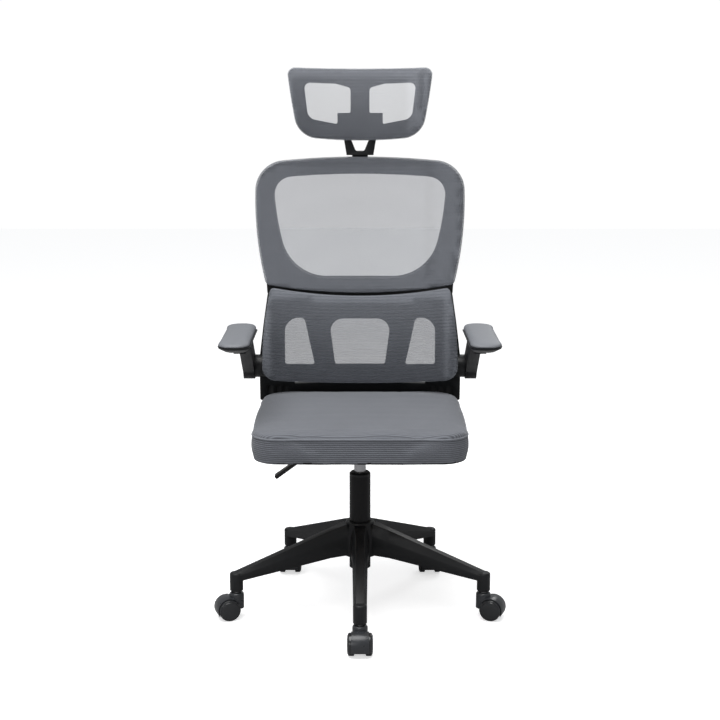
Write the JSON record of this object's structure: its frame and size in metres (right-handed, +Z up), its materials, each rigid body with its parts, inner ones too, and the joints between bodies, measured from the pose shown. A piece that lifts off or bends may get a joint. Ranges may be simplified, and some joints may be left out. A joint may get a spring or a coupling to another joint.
{
  "type": "office chair",
  "caption": "Mesh-back office chair with tilting headrest, lumbar pad, flip-up arms, tilting gas-lift seat and five-star base on twin-wheel casters.",
  "frame": {"origin": "on the floor, under the column axis, at the centre of the footprint", "axes": "+Z up, -Y the way the sitter faces, +X to the right of a viewer who faces the front of the chair"},
  "size_m": [0.681, 0.7016, 1.2598],
  "materials": {
    "black_nylon": "fine moulded texture, satin",
    "black_steel": "black powder coat",
    "chrome": "polished",
    "bright_steel": "turned, bright zinc",
    "zinc_screw": "black zinc",
    "rubber": "matte",
    "plywood": "raw plywood",
    "seat_fabric": "ribbed sandwich mesh, grey",
    "grey_nylon": "moulded, under the mesh",
    "mesh_fabric": "ribbed open mesh, grey",
    "arm_pad_grey": "soft foam skin, grey",
    "caster_nylon": "satin moulded",
    "wheel_nylon": "satin moulded, dark grey"
  },
  "bodies": {
    "base": {"five_star_base": "black_nylon", "outer_tube": "black_steel", "guide_bush": "black_nylon", "thrust_bearing": "bright_steel"},
    "caster_front": {"caster_hood_front": "caster_nylon", "caster_pins_front": "bright_steel"},
    "wheel_a_front": {"caster_wheel_a_front": "wheel_nylon"},
    "wheel_b_front": {"caster_wheel_b_front": "wheel_nylon"},
    "caster_right_front": {"caster_hood_right_front": "caster_nylon", "caster_pins_right_front": "bright_steel"},
    "wheel_a_right_front": {"caster_wheel_a_right_front": "wheel_nylon"},
    "wheel_b_right_front": {"caster_wheel_b_right_front": "wheel_nylon"},
    "caster_right_rear": {"caster_hood_right_rear": "caster_nylon", "caster_pins_right_rear": "bright_steel"},
    "wheel_a_right_rear": {"caster_wheel_a_right_rear": "wheel_nylon"},
    "wheel_b_right_rear": {"caster_wheel_b_right_rear": "wheel_nylon"},
    "caster_left_rear": {"caster_hood_left_rear": "caster_nylon", "caster_pins_left_rear": "bright_steel"},
    "wheel_a_left_rear": {"caster_wheel_a_left_rear": "wheel_nylon"},
    "wheel_b_left_rear": {"caster_wheel_b_left_rear": "wheel_nylon"},
    "caster_left_front": {"caster_hood_left_front": "caster_nylon", "caster_pins_left_front": "bright_steel"},
    "wheel_a_left_front": {"caster_wheel_a_left_front": "wheel_nylon"},
    "wheel_b_left_front": {"caster_wheel_b_left_front": "wheel_nylon"},
    "rod": {"piston_rod": "bright_steel", "retaining_clip": "bright_steel", "rubber_bumper": "rubber"},
    "lift": {"gas_cylinder": "chrome", "mechanism_housing": "black_steel", "tilt_springs": "bright_steel"},
    "button": {"release_button": "bright_steel"},
    "lock": {"lock_slider": "black_steel"},
    "lever": {"lever_rod": "black_steel", "lever_paddle": "black_nylon"},
    "seat": {"tilt_axle": "bright_steel", "seat_plate": "black_steel", "seat_board": "plywood", "seat_bolts": "zinc_screw", "seat_cushion": "seat_fabric", "back_frame": "black_nylon", "back_screws": "zinc_screw", "upper_ring": "grey_nylon", "upper_mesh": "mesh_fabric", "lumbar_frame": "grey_nylon", "lumbar_mesh": "mesh_fabric", "arm_bolt_left": "zinc_screw", "arm_bolt_right": "zinc_screw", "headrest_pin": "bright_steel"},
    "head_bracket": {"headrest_bracket": "black_nylon"},
    "headrest": {"headrest_frame": "grey_nylon", "headrest_mesh": "mesh_fabric"},
    "arm_left": {"arm_left": "black_nylon", "arm_shell_left": "black_nylon", "arm_pad_left": "arm_pad_grey", "arm_screws_left": "zinc_screw"},
    "arm_right": {"arm_right": "black_nylon", "arm_shell_right": "black_nylon", "arm_pad_right": "arm_pad_grey", "arm_screws_right": "zinc_screw"}
  },
  "joints": [
    {"name": "swivel_front", "type": "hinge", "parent": "base", "child": "caster_front", "pos_m": [0, -0.302, 0.06], "axis": [0, 0, 1], "continuous": true},
    {"name": "roll_a_front", "type": "hinge", "parent": "caster_front", "child": "wheel_a_front", "pos_m": [0, -0.324, 0.025], "axis": [1, 0, 0], "continuous": true},
    {"name": "roll_b_front", "type": "hinge", "parent": "caster_front", "child": "wheel_b_front", "pos_m": [0, -0.324, 0.025], "axis": [1, 0, 0], "continuous": true},
    {"name": "swivel_right_front", "type": "hinge", "parent": "base", "child": "caster_right_front", "pos_m": [0.28722, -0.09332, 0.06], "axis": [0, 0, 1], "continuous": true},
    {"name": "roll_a_right_front", "type": "hinge", "parent": "caster_right_front", "child": "wheel_a_right_front", "pos_m": [0.30789, -0.10085, 0.025], "axis": [0.342, 0.9397, 0], "continuous": true},
    {"name": "roll_b_right_front", "type": "hinge", "parent": "caster_right_front", "child": "wheel_b_right_front", "pos_m": [0.30789, -0.10085, 0.025], "axis": [0.342, 0.9397, 0], "continuous": true},
    {"name": "swivel_right_rear", "type": "hinge", "parent": "base", "child": "caster_right_rear", "pos_m": [0.17751, 0.24432, 0.06], "axis": [0, 0, 1], "continuous": true},
    {"name": "roll_a_right_rear", "type": "hinge", "parent": "caster_right_rear", "child": "wheel_a_right_rear", "pos_m": [0.17751, 0.22232, 0.025], "axis": [1, 0, 0], "continuous": true},
    {"name": "roll_b_right_rear", "type": "hinge", "parent": "caster_right_rear", "child": "wheel_b_right_rear", "pos_m": [0.17751, 0.22232, 0.025], "axis": [1, 0, 0], "continuous": true},
    {"name": "swivel_left_rear", "type": "hinge", "parent": "base", "child": "caster_left_rear", "pos_m": [-0.17751, 0.24432, 0.06], "axis": [0, 0, 1], "continuous": true},
    {"name": "roll_a_left_rear", "type": "hinge", "parent": "caster_left_rear", "child": "wheel_a_left_rear", "pos_m": [-0.17751, 0.22232, 0.025], "axis": [1, 0, 0], "continuous": true},
    {"name": "roll_b_left_rear", "type": "hinge", "parent": "caster_left_rear", "child": "wheel_b_left_rear", "pos_m": [-0.17751, 0.22232, 0.025], "axis": [1, 0, 0], "continuous": true},
    {"name": "swivel_left_front", "type": "hinge", "parent": "base", "child": "caster_left_front", "pos_m": [-0.28722, -0.09332, 0.06], "axis": [0, 0, 1], "continuous": true},
    {"name": "roll_a_left_front", "type": "hinge", "parent": "caster_left_front", "child": "wheel_a_left_front", "pos_m": [-0.30789, -0.10085, 0.025], "axis": [0.342, -0.9397, 0], "continuous": true},
    {"name": "roll_b_left_front", "type": "hinge", "parent": "caster_left_front", "child": "wheel_b_left_front", "pos_m": [-0.30789, -0.10085, 0.025], "axis": [0.342, -0.9397, 0], "continuous": true},
    {"name": "seat_swivel", "type": "hinge", "parent": "base", "child": "rod", "pos_m": [0, 0, 0.1], "axis": [0, 0, 1], "continuous": true},
    {"name": "seat_lift", "type": "slide", "parent": "rod", "child": "lift", "axis": [0, 0, 1], "range_m": [0, 0.1]},
    {"name": "lever_pull", "type": "slide", "parent": "lift", "child": "lock", "axis": [-1, 0, 0], "range_m": [0, 0.012]},
    {"name": "lever_lift", "type": "hinge", "parent": "lock", "child": "lever", "pos_m": [-0.033, 0, 0.381], "axis": [0, 1, 0], "range_deg": [0, 4.4], "stiffness_Nm_per_rad": 0.8, "springref_deg": -8.59},
    {"name": "button_press", "type": "slide", "parent": "lift", "child": "button", "axis": [0, 0, -1], "range_m": [0, 0.0029], "stiffness_N_per_m": 100},
    {"name": "seat_tilt", "type": "hinge", "parent": "lift", "child": "seat", "pos_m": [0, -0.045, 0.38], "axis": [-1, 0, 0], "range_deg": [0, 15], "stiffness_Nm_per_rad": 90, "springref_deg": -20.05},
    {"name": "headrest_tilt", "type": "hinge", "parent": "seat", "child": "head_bracket", "pos_m": [0, 0.34, 1.034], "axis": [-1, 0, 0], "range_deg": [0, 25]},
    {"name": "headrest_height", "type": "slide", "parent": "head_bracket", "child": "headrest", "axis": [0, 0, 1], "range_m": [0, 0.04]},
    {"name": "arm_flip_left", "type": "hinge", "parent": "seat", "child": "arm_left", "pos_m": [-0.27, 0.2, 0.54], "axis": [-1, 0, 0], "range_deg": [0, 64]},
    {"name": "arm_flip_right", "type": "hinge", "parent": "seat", "child": "arm_right", "pos_m": [0.27, 0.2, 0.54], "axis": [-1, 0, 0], "range_deg": [0, 64]}
  ],
  "couplings": [
    {"joint": "button_press", "follows": "lever_lift", "m_per_rad": 0.0372}
  ]
}
